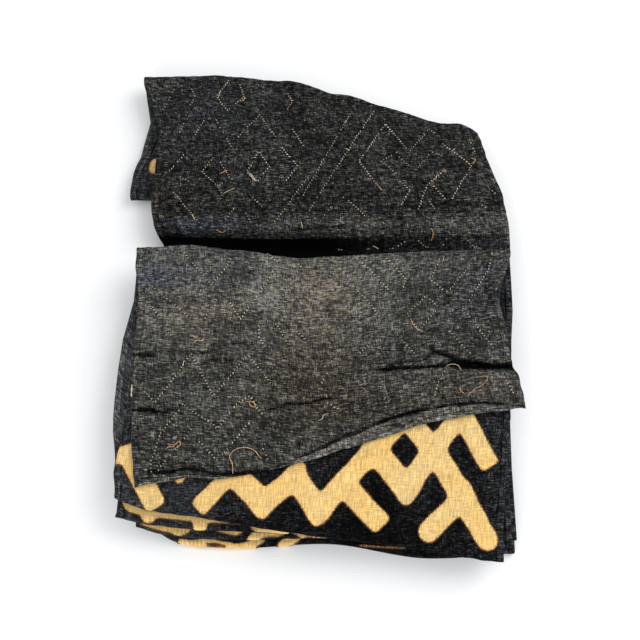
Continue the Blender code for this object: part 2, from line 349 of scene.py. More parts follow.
def locate(part, s, t):
    """Grid column and row of the points (s, t) of a part's chart."""
    a, b, run = PART_OF[part]
    ui = np.clip(np.asarray(s, float) / WIDTH, 0, 1) * COLS
    i = np.clip(np.floor(ui).astype(int), 0, NU - 2)
    rows = np.arange(a, b + 1)
    wi = np.zeros_like(ui)
    for c in np.unique(i):
        m = i == c
        lo = np.interp(t[m], run[c, a:b + 1], rows)
        hi = np.interp(t[m], run[c + 1, a:b + 1], rows)
        f = ui[m] - c
        wi[m] = lo * (1 - f) + hi * f
    return ui, wi


def off_cloth(ui, wi, lift):
    """Points lift mm off the middle of the cloth, towards its patched side."""
    n = at_grid(NORMAL, ui, wi)
    n = n / np.linalg.norm(n, axis=-1, keepdims=True)
    return at_grid(BODY, ui, wi) + n * np.asarray(lift, float)[..., None]


def on_cloth(part, s, t, lift):
    ui, wi = locate(part, np.asarray(s, float), np.asarray(t, float))
    return off_cloth(ui, wi, lift)


PANELS = {"rear": ("rear top fold", "trough floor", -1.0), "top": ("upper back fold", "top hem", -1.0)}


def at_place(panel, x, y):
    """Grid column and row of places given by x and y in the table's frame, on a panel whose
    rows run towards the front."""
    first, last, _ = PANELS[panel]
    a, b = AT[first], AT[last]
    rows = np.arange(a, b + 1)
    ui, wi = [], []
    for px, py in zip(np.atleast_1d(x), np.atleast_1d(y)):
        u = (px + 305) / 615 * COLS
        for _ in range(5):
            i = int(min(max(u, 0), COLS - 1e-6))
            f = u - i
            line = BODY[i, a:b + 1] * (1 - f) + BODY[i + 1, a:b + 1] * f
            w = np.interp(-py, -line[:, 1], rows)
            k = int(min(w, NW - 2)); g = w - k
            edge_l = BODY[0, k, 0] * (1 - g) + BODY[0, k + 1, 0] * g
            edge_r = BODY[-1, k, 0] * (1 - g) + BODY[-1, k + 1, 0] * g
            u = (px - edge_l) / (edge_r - edge_l) * COLS
        ui.append(min(max(u, 0.3), COLS - 0.3)); wi.append(w)
    return np.array(ui), np.array(wi)


# ============================================================ the pattern
# Zigzags and diamonds of the traditional kind, charted on a lattice. A limb runs
# from (column, level) to (column, level); a column is 44.5 mm and a level 47 mm.
COLUMN, LEVEL = 44.5, 47.0
Limb = namedtuple("Limb", "c0 l0 c1 l1 half end")        # end: which ends are free and blunt
TOP_CHART = [
    Limb(-6.1, 3.7, -4.95, 2.75, 14, ""), Limb(-4.95, 2.75, -4.2, 3.6, 14, ""),
    Limb(-4.0, 1.2, -3.05, 2.15, 16, "0"), Limb(-3.05, 2.15, -1.95, 1.15, 19, ""), Limb(-1.95, 1.15, -1.95, 0.85, 10, ""),
    Limb(-1.95, 1.15, -0.9, 2.0, 18, ""), Limb(-0.9, 2.0, -0.75, 2.3, 10, ""), Limb(-0.9, 2.0, 0.05, 0.95, 18, ""),
    Limb(0.05, 0.95, 0.0, 0.65, 10, ""), Limb(0.05, 0.95, 1.75, 2.9, 19, ""), Limb(1.0, 1.65, 2.05, 0.65, 18, "1"),
    Limb(1.75, 2.9, 2.75, 4.15, 19, ""), Limb(1.75, 2.9, 3.03, 1.70, 19, ""), Limb(3.03, 1.70, 3.03, 1.40, 12, ""),
    Limb(3.03, 1.70, 3.88, 2.85, 18, ""), Limb(3.85, 2.9, 2.75, 4.15, 18, ""),
    Limb(3.85, 2.9, 4.75, 4.2, 17, ""),
    Limb(3.85, 2.9, 4.85, 1.55, 18, ""), Limb(4.85, 1.55, 5.92, 0.02, 18, ""), Limb(4.95, 1.3, 3.93, 0.28, 18, ""),
    Limb(2.75, 4.15, 2.75, 5.0, 18, ""), Limb(4.75, 4.2, 5.2, 5.0, 18, ""), Limb(4.9, 3.85, 5.75, 2.6, 17, "1"),
    Limb(-6.7, 2.75, -5.8, 1.3, 18, "1"), Limb(-6.3, 3.2, -6.35, 2.5, 19, ""), Limb(-7.5, 2.7, -6.55, 2.85, 15, ""),
    Limb(-5.15, 2.4, -4.9, 2.0, 8, ""), Limb(-4.6, 2.4, -4.9, 2.0, 8, ""), Limb(2.7, 1.75, 3.05, 1.3, 8, ""), Limb(3.35, 1.75, 3.05, 1.3, 8, ""),
]
# The common repeat that the rest of the runner carries: zigzags locked round diamonds.
REPEAT_COLUMNS, REPEAT_LEVELS = 7, 8
REPEAT = [
    Limb(0, 0, 1, 1.1, 17, ""), Limb(1, 1.1, 2, 0, 17, ""), Limb(2, 0, 3, 1.1, 17, ""), Limb(3, 1.1, 4, 0, 17, "1"),
    Limb(0, 0, 0, -1, 17, "1"), Limb(5, 0.1, 6, 1.2, 17, "0"), Limb(6, 1.2, 5.1, 2.4, 17, ""), Limb(5.1, 2.4, 6, 3.5, 17, "1"),
    Limb(1, 2.6, 2, 3.7, 17, "0"), Limb(2, 3.7, 3, 2.6, 17, ""), Limb(3, 2.6, 2, 1.9, 17, "1"), Limb(3, 2.6, 4, 3.7, 17, ""),
    Limb(4, 3.7, 3, 4.8, 17, ""), Limb(3, 4.8, 2, 3.7, 17, ""), Limb(0, 3.9, 1, 5.0, 17, "0"), Limb(1, 5.0, 0, 6.1, 17, "1"),
    Limb(4, 6.0, 5, 5.0, 17, "0"), Limb(5, 5.0, 6, 6.1, 17, ""), Limb(6, 6.1, 5.2, 7.0, 17, "1"), Limb(2, 6.2, 3, 7.2, 17, "1"),
    Limb(1, 7.2, 2, 6.2, 17, "0"),
]


def limbs_of(chart, c_off=0.0, l_off=0.0, s_off=0.0, t_off=0.0):
    """Limbs in mm: s0, t0, s1, t1, half, end."""
    return [((m.c0 + c_off) * COLUMN + s_off, (m.l0 + l_off) * LEVEL + t_off,
             (m.c1 + c_off) * COLUMN + s_off, (m.l1 + l_off) * LEVEL + t_off, m.half, m.end) for m in chart]


def spread(c_off, l_off, columns, levels):
    """The repeat laid side by side over columns by levels of repeats, each row shifted by half."""
    out = []
    for j in range(levels):
        for i in range(columns):
            out += limbs_of(REPEAT, c_off + i * REPEAT_COLUMNS + (j % 2) * 3.5, l_off + j * REPEAT_LEVELS)
    return out


def field(limbs, s, t, wobble, seed):
    """Below zero on a patch, above zero on the ground, in mm."""
    ws = s + wobble * (1.7 * value_noise(s / 48, t / 48, seed) + 0.7 * value_noise(s / 15, t / 15, seed + 1))
    wt = t + wobble * (1.7 * value_noise(s / 48 + 7, t / 48, seed + 2) + 0.7 * value_noise(s / 15, t / 15 + 3, seed + 3))
    soft = 2.4                                  # rounds the corners where limbs meet
    total = np.zeros(s.shape)
    for s0, t0, s1, t1, half, end in limbs:
        reach = half + 26
        m = ((ws > min(s0, s1) - reach) & (ws < max(s0, s1) + reach)
             & (wt > min(t0, t1) - reach) & (wt < max(t0, t1) + reach))
        if not m.any():
            continue
        ds, dt = s1 - s0, t1 - t0
        length = math.hypot(ds, dt)
        along = ((ws[m] - s0) * ds + (wt[m] - t0) * dt) / length
        off = abs((ws[m] - s0) * dt - (wt[m] - t0) * ds) / length
        over = np.maximum(np.maximum(-along, along - length), 0)
        d = np.hypot(over, off) - half
        for mark, past in (("0", -along), ("1", along - length)):
            if mark in end:                     # a blunt end: a box with rounded corners
                r = 0.55 * half
                bx, by = past - 0.92 * half + r, off - half + r
                box = np.hypot(np.maximum(bx, 0), np.maximum(by, 0)) - r + np.minimum(np.maximum(bx, by), 0)
                d = np.where(past > 0, box, d)
        total[m] += np.exp(np.clip(-d / soft, -40, 40))
    return -soft * np.log(np.maximum(total, 1e-12))


def contour(s_line, t_line, f, level):
    """Marching squares: the area where f < level as polygons, and its outlines as chains of points.
    Points are (s, t, f)."""
    f = f - level
    f = np.where(abs(f) < 1e-6, 1e-6, f)
    points, index = [], {}

    def node(i, j):
        key = ("n", i, j)
        if key not in index:
            index[key] = len(points)
            points.append((s_line[i], t_line[j], f[i, j] + level))
        return index[key]

    def cut(i0, j0, i1, j1):
        key = ("c", i0, j0, i1, j1)
        if key not in index:
            a, b = f[i0, j0], f[i1, j1]
            w = a / (a - b)
            index[key] = len(points)
            points.append((s_line[i0] + (s_line[i1] - s_line[i0]) * w,
                           t_line[j0] + (t_line[j1] - t_line[j0]) * w, level))
        return index[key]

    faces, links = [], {}
    inside = f < 0
    ni, nj = f.shape
    count = inside[:-1, :-1].astype(int) + inside[1:, :-1] + inside[1:, 1:] + inside[:-1, 1:]
    for i, j in zip(*np.nonzero(count)):
        ring = [(i, j), (i + 1, j), (i + 1, j + 1), (i, j + 1)]
        if count[i, j] == 4:
            faces.append([node(*p) for p in ring])
            continue
        poly, cuts = [], []
        for k in range(4):
            p, q = ring[k], ring[(k + 1) % 4]
            if inside[p]:
                poly.append(node(*p))
            if inside[p] != inside[q]:
                lo, hi = (p, q) if p < q else (q, p)
                c = cut(*lo, *hi)
                poly.append(c)
                cuts.append((c, inside[p]))
        if len(cuts) == 2:
            faces.append(poly)
            (c0, out0), (c1, _) = cuts
            a, b = (c0, c1) if out0 else (c1, c0)
            links[a] = b
        else:                                      # two corners across: two triangles
            starts = [k for k in range(4) if inside[ring[k]]]
            for k in starts:
                p, q, r = ring[k], ring[(k + 1) % 4], ring[(k - 1) % 4]
                c1 = cut(*(p + q if p < q else q + p))
                c0 = cut(*(p + r if p < r else r + p))
                faces.append([node(*p), c1, c0])
                links[c1] = c0
    # outlines
    chains, left = [], dict(links)
    targets = set(links.values())
    heads = [a for a in links if a not in targets]
    for start in heads + list(links):
        if start not in left:
            continue
        chain = [start]
        while chain[-1] in left:
            chain.append(left.pop(chain[-1]))
            if chain[-1] == start:
                break
        chains.append(chain)
    return np.array(points, float).reshape(-1, 3), faces, chains, links


# ============================================================ materials
class Nodes:
    """A short way to write a material's node tree."""

    def __init__(self, name):
        self.mat = bpy.data.materials.new(name)
        self.mat.use_nodes = True
        self.tree = self.mat.node_tree
        self.shader = self.tree.nodes["Principled BSDF"]

    def put(self, socket, value):
        if isinstance(value, bpy.types.NodeSocket):
            self.tree.links.new(value, socket)
        elif isinstance(value, (tuple, list)) and len(value) == 3 and socket.type == "RGBA":
            socket.default_value = (*value, 1.0)
        else:
            socket.default_value = value

    def math(self, op, a, b=0.0, c=0.0, clamp=False):
        n = self.tree.nodes.new("ShaderNodeMath")
        n.operation = op
        n.use_clamp = clamp
        self.put(n.inputs[0], a); self.put(n.inputs[1], b)
        if op in ("MULTIPLY_ADD", "SMOOTH_MIN", "SMOOTH_MAX", "COMPARE"):
            self.put(n.inputs[2], c)
        return n.outputs[0]

    def mix(self, f, a, b, blend="MIX"):
        n = self.tree.nodes.new("ShaderNodeMix")
        n.data_type = "RGBA"
        n.blend_type = blend
        self.put(n.inputs[0], f); self.put(n.inputs[6], a); self.put(n.inputs[7], b)
        return n.outputs[2]

    def ramp(self, value, lo, hi, a=0.0, b=1.0, smooth_it=True):
        n = self.tree.nodes.new("ShaderNodeMapRange")
        n.interpolation_type = "SMOOTHSTEP" if smooth_it else "LINEAR"
        self.put(n.inputs[0], value); self.put(n.inputs[1], lo); self.put(n.inputs[2], hi)
        self.put(n.inputs[3], a); self.put(n.inputs[4], b)
        return n.outputs[0]

    def attribute(self, name):
        n = self.tree.nodes.new("ShaderNodeAttribute")
        n.attribute_name = name
        return n

    def split(self, vector):
        n = self.tree.nodes.new("ShaderNodeSeparateXYZ")
        self.tree.links.new(vector, n.inputs[0])
        return n.outputs[0], n.outputs[1], n.outputs[2]

    def join(self, x, y, z=0.0):
        n = self.tree.nodes.new("ShaderNodeCombineXYZ")
        self.put(n.inputs[0], x); self.put(n.inputs[1], y); self.put(n.inputs[2], z)
        return n.outputs[0]

    def noise(self, vector, scale, detail=3.0, rough=0.55, dims="3D"):
        n = self.tree.nodes.new("ShaderNodeTexNoise")
        n.noise_dimensions = dims
        self.put(n.inputs["Vector"], vector)
        n.inputs["Scale"].default_value = scale
        n.inputs["Detail"].default_value = detail
        n.inputs["Roughness"].default_value = rough
        return n.outputs["Fac"]

    def white(self, w):
        n = self.tree.nodes.new("ShaderNodeTexWhiteNoise")
        n.noise_dimensions = "1D"
        self.put(n.inputs["W"], w)
        return n.outputs["Value"]

    def bump(self, height, strength, distance, before=None):
        n = self.tree.nodes.new("ShaderNodeBump")
        n.inputs["Strength"].default_value = strength
        n.inputs["Distance"].default_value = distance
        self.put(n.inputs["Height"], height)
        if before is not None:
            self.tree.links.new(before, n.inputs["Normal"])
        return n.outputs[0]


def weave(n, s, t, warp=0.00135, weft=0.0015):
    """Plain weave from the cloth's own coordinates: (height, thread tone, slub streaks)."""
    a = n.math("DIVIDE", s, warp)
    b = n.math("DIVIDE", t, weft)
    # threads wander a little
    wander = n.noise(n.join(n.math("MULTIPLY", s, 26.0), n.math("MULTIPLY", t, 26.0)), 1.0, 2.0)
    a = n.math("ADD", a, n.math("MULTIPLY", wander, 1.6))
    b = n.math("ADD", b, n.math("MULTIPLY", n.noise(n.join(n.math("MULTIPLY", t, 24.0), n.math("MULTIPLY", s, 24.0), 5.0), 1.0, 2.0), 1.6))
    sa, sb = n.math("SINE", n.math("MULTIPLY", a, math.pi)), n.math("SINE", n.math("MULTIPLY", b, math.pi))
    over = n.math("MULTIPLY", sa, sb)
    height = n.math("MULTIPLY_ADD", over, 0.5, 0.5)
    tone_a = n.white(n.math("FLOOR", a))
    tone_b = n.white(n.math("ADD", n.math("FLOOR", b), 311.7))
    streak_a = n.noise(n.join(n.math("MULTIPLY", s, 620.0), n.math("MULTIPLY", t, 34.0)), 1.0, 3.0, 0.6)
    streak_b = n.noise(n.join(n.math("MULTIPLY", s, 34.0), n.math("MULTIPLY", t, 560.0), 9.0), 1.0, 3.0, 0.6)
    streaks = n.math("ADD", n.math("MULTIPLY", streak_a, 0.5), n.math("MULTIPLY", streak_b, 0.5))
    tone = n.math("ADD", n.math("MULTIPLY", tone_a, 0.5), n.math("MULTIPLY", tone_b, 0.5))
    return height, tone, streaks


def spread_noise(n, terms, by=1.0):
    """exp of a sum of noises times by: terms are (strength, noise value around 0.5)."""
    total = None
    for strength, value in terms:
        part = n.math("MULTIPLY", n.math("SUBTRACT", value, 0.5), strength / 0.115)
        total = part if total is None else n.math("ADD", total, part)
    total = n.math("MULTIPLY", total, by)
    return n.math("EXPONENT", n.math("MAXIMUM", n.math("MINIMUM", total, 2.5), -4.5))


def scaled(n, colour, factor):
    v = n.tree.nodes.new("ShaderNodeVectorMath")
    v.operation = "SCALE"
    n.put(v.inputs[0], colour)
    n.put(v.inputs["Scale"], factor)
    return v.outputs[0]


def flecks(n, s, t, along_s, along_t, offset, detail=2.0, rough=0.6):
    """Noise stretched along one thread direction; the two lengths are in metres."""
    return n.noise(n.join(n.math("MULTIPLY", s, 1 / along_s), n.math("MULTIPLY", t, 1 / along_t), offset), 1.0, detail, rough)


def dashes(n, s, t, pitch, length, offset):
    """A tone from 0 to 1 for each thread's visible stretches: threads run along s, pitch apart in t."""
    sway = n.noise(n.join(n.math("MULTIPLY", s, 18.0), n.math("MULTIPLY", t, 18.0), offset), 1.0, 2.0)
    row = n.math("FLOOR", n.math("ADD", n.math("DIVIDE", t, pitch), n.math("MULTIPLY", sway, 3.0)))
    start = n.math("MULTIPLY", n.white(n.math("ADD", row, offset)), 9.7)
    piece = n.math("FLOOR", n.math("ADD", n.math("DIVIDE", s, length), start))
    return n.white(n.math("ADD", n.math("MULTIPLY", row, 17.13), n.math("MULTIPLY_ADD", piece, 3.71, offset)))


def ground_material(name, base, neutral, side_line, worn_by):
    n = Nodes(name)
    st = n.attribute("st")
    s, t, e = n.split(st.outputs["Vector"])
    look = n.attribute("look")
    stain, blue, tone_and_painted_light_level = n.split(look.outputs["Vector"])
    height, tone, streaks = weave(n, s, t)
    weft = flecks(n, s, t, 0.0125, 0.00120, 1.0, 1.0, 0.5)
    warp = flecks(n, s, t, 0.00125, 0.0105, 4.0, 1.0, 0.5)
    speck = flecks(n, s, t, 0.0017, 0.0016, 8.0, 1.0, 0.5)
    over, under = dashes(n, s, t, 0.0020, 0.0066, 40.0), dashes(n, t, s, 0.0021, 0.0060, 970.0)
    mottle = flecks(n, s, t, 0.022, 0.018, 2.0, 4.0, 0.6)
    blotch = flecks(n, s, t, 0.062, 0.052, 3.0, 3.0, 0.55)
    across_it = flecks(n, s, t, 0.058, 0.0058, 21.0, 3.0, 0.55)
    along_it = flecks(n, s, t, 0.0062, 0.060, 24.0, 3.0, 0.55)
    # the higher the light level (worn cloth, and painted highlight), the less its threads differ
    coarse = n.ramp(tone_and_painted_light_level, 0.7, 2.6, 1.04, 0.75)
    vary = spread_noise(n, [(0.74, weft), (0.46, warp), (0.38, speck), (0.20, over), (0.14, under), (0.11, mottle),
                            (0.27, blotch), (0.25, across_it), (0.21, along_it), (0.16, streaks)], n.math("MULTIPLY", coarse, worn_by))
    vary = n.math("MULTIPLY", vary, n.math("MULTIPLY_ADD", tone, 0.5, 0.75))
    vary = n.math("MULTIPLY", vary, n.math("MULTIPLY_ADD", height, 0.5, 0.75))
    # the light level scales the colour: worn tone together with painted highlight and painted shade
    vary = n.math("MULTIPLY", vary, tone_and_painted_light_level)
    hue = n.mix(n.math("MULTIPLY", stain, n.ramp(mottle, 0.25, 0.75, 0.55, 1.0), clamp=True), neutral, (1.0, 0.78, 0.55))
    hue = n.mix(n.math("MULTIPLY", blue, 0.9, clamp=True), hue, (0.70, 0.82, 1.12))
    tinge = flecks(n, s, t, 0.016, 0.013, 12.0, 3.0, 0.65)
    hue = n.mix(n.ramp(tinge, 0.50, 0.66, 0.0, 0.55), hue, (1.0, 0.93, 0.62))
    hue = n.mix(n.ramp(tinge, 0.34, 0.50, 0.45, 0.0), hue, (0.90, 0.90, 1.10))
    colour = scaled(n, scaled(n, hue, base), n.math("MINIMUM", vary, 16.0))
    # hem: the turned edge, its stitch line and the step where it ends; the near-black line at the step is partly its
    # seam and partly painted shade
    side = n.math("MULTIPLY", n.math("MINIMUM", s, n.math("SUBTRACT", 0.610, s)), 1.6)
    wav = n.math("MULTIPLY", n.math("SUBTRACT", n.noise(n.join(n.math("MULTIPLY", t, 30.0), n.math("MULTIPLY", s, 30.0)), 1.0, 2.0), 0.5), 0.006)
    hem = n.math("ADD", n.math("MINIMUM", side, e), wav)
    plain = n.ramp(n.math("SUBTRACT", e, side), -0.0005, 0.0005, 0.9, side_line)     # the end's line is plainer than the sides'
    line = n.math("SUBTRACT", 1.0, n.ramp(n.math("ABSOLUTE", n.math("SUBTRACT", hem, 0.0172)), 0.0009, 0.0030))
    line2 = n.math("SUBTRACT", 1.0, n.ramp(n.math("ABSOLUTE", n.math("SUBTRACT", hem, 0.0062)), 0.0003, 0.0015))
    inside = n.math("SUBTRACT", 1.0, n.ramp(hem, 0.0165, 0.0180))
    line_patchiness = n.ramp(flecks(n, s, t, 0.03, 0.03, 6.0), 0.40, 0.56, 0.35, 1.0)
    colour = scaled(n, colour, n.math("ADD", 1.0, n.math("MULTIPLY", n.math("MULTIPLY", inside, plain), 0.50)))
    colour = n.mix(n.math("MULTIPLY", n.math("MULTIPLY", line, plain), line_patchiness), colour, (0.001, 0.001, 0.0013))
    colour = n.mix(n.math("MULTIPLY", n.math("MULTIPLY", line2, plain), 0.6), colour, (0.002, 0.002, 0.0022))
    rim = n.math("SUBTRACT", 1.0, n.ramp(hem, 0.0002, 0.0024))
    colour = n.mix(n.math("MULTIPLY", rim, 0.25), colour, (0.075, 0.068, 0.060))
    n.put(n.shader.inputs["Base Color"], colour)
    n.put(n.shader.inputs["Roughness"], n.ramp(streaks, 0.3, 0.7, 0.92, 0.70))
    n.shader.inputs["Specular IOR Level"].default_value = 0.04
    b1 = n.bump(n.math("ADD", inside, n.math("MULTIPLY", line, -0.9)), 0.9, 0.0007)
    b2 = n.bump(mottle, 0.5, 0.0022, b1)
    fibre = n.math("ADD", n.math("MULTIPLY", height, 0.5), n.math("ADD", n.math("MULTIPLY", streaks, 0.5), n.math("ADD", weft, speck)))
    b3 = n.bump(fibre, 0.9, 0.0009, b2)
    n.put(n.shader.inputs["Normal"], b3)
    return n.mat


def patch_material():
    n = Nodes("tan_raffia")
    st = n.attribute("st")
    s, t, e = n.split(st.outputs["Vector"])      # e: how far inside the outline
    height, tone, streaks = weave(n, s, t, 0.0015, 0.0016)
    weft = flecks(n, s, t, 0.0170, 0.0015, 1.0, 1.0, 0.5)
    warp = flecks(n, s, t, 0.0015, 0.0190, 4.0, 1.0, 0.5)
    mottle = flecks(n, s, t, 0.030, 0.026, 2.0, 4.0, 0.6)
    blotch = flecks(n, s, t, 0.11, 0.09, 3.0, 3.0, 0.5)
    vary = spread_noise(n, [(0.11, weft), (0.16, warp), (0.05, mottle), (0.06, blotch), (0.08, streaks)])
    vary = n.math("MULTIPLY", vary, n.math("MULTIPLY_ADD", tone, 0.10, 0.95))
    vary = n.math("MULTIPLY", vary, n.math("MULTIPLY_ADD", height, 0.14, 0.93))
    hue = n.mix(n.ramp(blotch, 0.35, 0.70, 0.0, 1.0), (0.770, 0.530, 0.212), (0.715, 0.445, 0.140))
    colour = scaled(n, hue, vary)
    edge_noise = flecks(n, s, t, 0.0040, 0.0040, 5.0, 3.0, 0.7)
    reach = n.ramp(edge_noise, 0.35, 0.68, 0.0011, 0.0031)
    dark_edge = n.math("SUBTRACT", 1.0, n.ramp(n.math("DIVIDE", e, reach), 0.55, 1.0))
    rust = n.mix(n.ramp(edge_noise, 0.57, 0.66), (0.007, 0.003, 0.002), (0.42, 0.110, 0.016))
    colour = n.mix(n.math("MULTIPLY", dark_edge, 0.97), colour, rust)
    warm = n.math("SUBTRACT", 1.0, n.ramp(e, 0.001, 0.006))
    colour = n.mix(n.math("MULTIPLY", warm, 0.18), colour, (0.60, 0.27, 0.060))
    n.put(n.shader.inputs["Base Color"], colour)
    n.put(n.shader.inputs["Roughness"], n.ramp(streaks, 0.3, 0.7, 0.85, 0.62))
    n.shader.inputs["Specular IOR Level"].default_value = 0.25
    n.shader.inputs["Sheen Weight"].default_value = 0.04
    b1 = n.bump(mottle, 0.3, 0.0016)
    b2 = n.bump(n.math("ADD", n.math("MULTIPLY", height, 0.6), n.math("MULTIPLY", streaks, 0.9)), 0.8, 0.0006, b1)
    n.put(n.shader.inputs["Normal"], b2)
    return n.mat


def thread_material(name, colours, rough=0.6):
    """Twisted raffia thread. Each stitch has its own tone, from the attribute tint."""
    n = Nodes(name)
    tint = n.attribute("tint").outputs["Fac"]
    ramp = n.tree.nodes.new("ShaderNodeValToRGB")
    n.tree.links.new(tint, ramp.inputs[0])
    els = ramp.color_ramp.elements
    while len(els) < len(colours):
        els.new(0.5)
    for k, (el, c) in enumerate(zip(els, colours)):
        el.position = k / (len(colours) - 1)
        el.color = (*c, 1)
    geo = n.tree.nodes.new("ShaderNodeTexCoord")
    fine = n.noise(geo.outputs["Object"], 900.0, 2.0)
    colour = n.mix(n.ramp(fine, 0.35, 0.65, 0.0, 0.45), ramp.outputs[0], (0.02, 0.012, 0.008))
    n.put(n.shader.inputs["Base Color"], colour)
    n.put(n.shader.inputs["Roughness"], n.ramp(fine, 0.3, 0.7, rough, rough + 0.2))
    n.put(n.shader.inputs["Normal"], n.bump(fine, 0.5, 0.0003))
    return n.mat


# ============================================================ meshes
def add_mesh(name, points, faces, mats, indices=None, attributes=()):
    """points in mm in the table's frame."""
    mesh = bpy.data.meshes.new(name)
    mesh.from_pydata([tuple(p) for p in to_world(points)], [], faces)
    for m in mats:
        mesh.materials.append(m)
    if indices is not None:
        mesh.polygons.foreach_set("material_index", np.asarray(indices, np.int32))
    mesh.polygons.foreach_set("use_smooth", np.ones(len(mesh.polygons), bool))
    for attr, kind, values in attributes:
        a = mesh.attributes.new(attr, kind, "POINT")
        key = "vector" if kind == "FLOAT_VECTOR" else "value"
        a.data.foreach_set(key, np.ascontiguousarray(values, np.float32).ravel())
    mesh.update()
    ob = bpy.data.objects.new(name, mesh)
    bpy.context.scene.collection.objects.link(ob)
    return ob


def spot(cx, cy, rx, ry):
    return np.exp(-((X - cx) / rx) ** 2 - ((Y - cy) / ry) ** 2)


def make_cloth():
    hem = 1 - smooth(14.5, 19.5, np.minimum(1.6 * EDGE, TO_END))
    face = BODY + NORMAL * (0.15 + 0.35 * hem)[..., None]
    back = BODY - NORMAL * (0.85 + 0.25 * hem)[..., None]
    pts = np.concatenate([face.reshape(-1, 3), back.reshape(-1, 3)])
    idx = np.arange(NU * NW).reshape(NU, NW)
    a, b, c, d = idx[:-1, :-1], idx[1:, :-1], idx[1:, 1:], idx[:-1, 1:]
    fa = np.stack([a, b, c, d], -1).reshape(-1, 4)
    off = NU * NW
    fb = np.stack([a, d, c, b], -1).reshape(-1, 4) + off
    rims = []
    for line in (idx[0, :], idx[-1, ::-1], idx[::-1, 0], idx[:, -1]):
        p, q = line[:-1], line[1:]
        rims.append(np.stack([p, q, q + off, p + off], -1))
    fr = np.concatenate(rims)
    faces = np.concatenate([fa, fb, fr])
    index = np.concatenate([np.zeros(len(fa)), np.ones(len(fb)), np.ones(len(fr))])
    # the top hem's turned strip is wide at the middle and rolls under at the left
    strip = across((9, 7, 4, 3, 4, 10, 17, 23, 24, 19, 14, 9), U)[:, None] / 17.2
    end = np.where(RUN > RUN[:, -1:] / 2, TO_END / strip, TO_END)
    st = np.stack([S * MM, T * MM, end * MM], -1).reshape(-1, 3)
    st = np.concatenate([st, st])

    # where the dye is worn brown, where it is bluish, and how light it is: the lightness holds worn areas together with
    # painted highlight and painted shade
    top, rear = top_part, rear_part
    other = np.clip(1 - top - rear, 0, 1)
    stain = top * (0.75 * spot(0, 45, 70, 75) + 0.55 * spot(-20, -90, 100, 70) + 0.5 * spot(60, -150, 170, 50)
                   + 0.35 * spot(-205, -10, 80, 60) + 0.45 * spot(240, -110, 60, 30) + 0.3 * spot(-190, 30, 70, 40) + 0.12)
    stain = stain + rear * (0.55 * spot(-275, 230, 50, 40) + 0.25 * spot(90, 200, 150, 30) + 0.35 * spot(-250, 475, 60, 20) + 0.08)
    # the bluish band along the brow's left roll (rear, near y 188) is painted sheen; the other spots are bluish dye
    blue = (top * (0.8 * spot(-285, 78, 26, 24) + 0.35 * spot(260, 50, 60, 60) + 0.3 * spot(-200, 80, 80, 40))
            + rear * (0.8 * spot(-220, 188, 80, 14) + 0.35 * spot(-210, 420, 100, 80) + 0.1) + other * 0.35)
    tone_and_painted_light = top * (2.15 + 3.30 * spot(0, 60, 115, 80) + 1.75 * spot(-250, 40, 100, 100) + 0.80 * spot(-120, 20, 120, 70)
                   + 0.45 * spot(240, -115, 60, 22) + 0.45 * spot(225, 95, 70, 25) - 0.75 * spot(250, 10, 90, 60)
                   - 0.45 * spot(-250, -200, 60, 50) - 0.35 * spot(190, -125, 120, 20) - 0.45 * spot(120, -40, 60, 40)
                   - 0.6 * spot(-268, -65, 30, 24) - 0.6 * spot(30, -138, 70, 20) - 0.45 * spot(-60, -200, 70, 25)
                   - 0.5 * spot(-120, 82, 34, 14) - 0.5 * spot(150, 60, 34, 30) - 0.45 * spot(-165, -12, 30, 20)
                   + 0.40 * spot(-160, -115, 60, 26) + 0.45 * spot(30, -60, 34, 40) + 0.35 * spot(-215, -20, 24, 30)
                   + 0.35 * spot(190, -20, 20, 40) + 0.3 * spot(90, -175, 50, 18))
    right_side = smooth(-90, 20, X)
    # the rear's own tone, with painted highlight along the rolled brow, stronger on the right
    tone_and_painted_light = tone_and_painted_light + rear * (0.80 + 0.95 * (1 - smooth(196, 206, Y)) * right_side * smooth(158, 166, Y)
                            + 0.42 * (1 - smooth(190, 215, Y)) * (1 - right_side) + 0.22 * spot(290, 230, 40, 60)
                            + 0.15 * spot(-230, 420, 60, 80) - 0.12 * spot(230, 330, 60, 60) - 0.14 * spot(-60, 430, 50, 30)
                            - 0.12 * spot(20, 330, 40, 90) + 0.14 * spot(-150, 300, 50, 40) + 0.12 * spot(110, 270, 60, 30)
                            - 0.12 * spot(-30, 240, 90, 16) + 0.10 * spot(150, 400, 40, 30))
    tone_and_painted_light = tone_and_painted_light + other * (0.80 + 2.0 * (1 - smooth(-200, -120, X)) - 0.45 * spot(70, -340, 130, 60) - 0.35 * spot(90, -290, 60, 60)
                             + 0.70 * smooth(250, 272, X))
    strip_zone = (1 - smooth(15.5, 18.0, end)) * top
    tone_and_painted_light = tone_and_painted_light * (1 + (0.10 + 0.50 * smooth(-90, -20, X)) * strip_zone * (RUN > RUN[:, -1:] / 2))
    # painted shade in the creases and painted highlight on their ridges, and painted shade in the trough where no light
    # reaches
    for crease in CREASES:
        if crease.dark:
            part = top if crease.part == "top" else rear
            crease_painted_light = np.exp(-(near_line(X, Y, crease.line) / (crease.half * (1.35 if crease.half > 3 else 1.15))) ** 4)
            tone_and_painted_light = tone_and_painted_light * (1 - part * crease_painted_light * crease.dark)
    # painted shade in the trough between the rear pile and the top layer
    trough_painted_shade = rows_between("trough side", "trough front", 1.5) * (0.99 - 0.42 * smooth(10, 140, X)) * (1 - 0.95 * smooth(180, 315, X))
    tone_and_painted_light = tone_and_painted_light * (1 - trough_painted_shade)
    look = np.stack([stain, blue, np.maximum(tone_and_painted_light, 0.004)], -1).reshape(-1, 3)
    look = np.concatenate([look, look])
    mats = [ground_material("black_raffia_face", 0.0086, (0.93, 0.97, 0.96), 0.9, 0.98),
            ground_material("black_raffia_reverse", 0.0197, (0.98, 1.0, 0.91), 0.3, 1.0)]
    return add_mesh("runner_cloth", pts, faces.tolist(), mats, index,
                    [("st", "FLOAT_VECTOR", st), ("look", "FLOAT_VECTOR", look)])


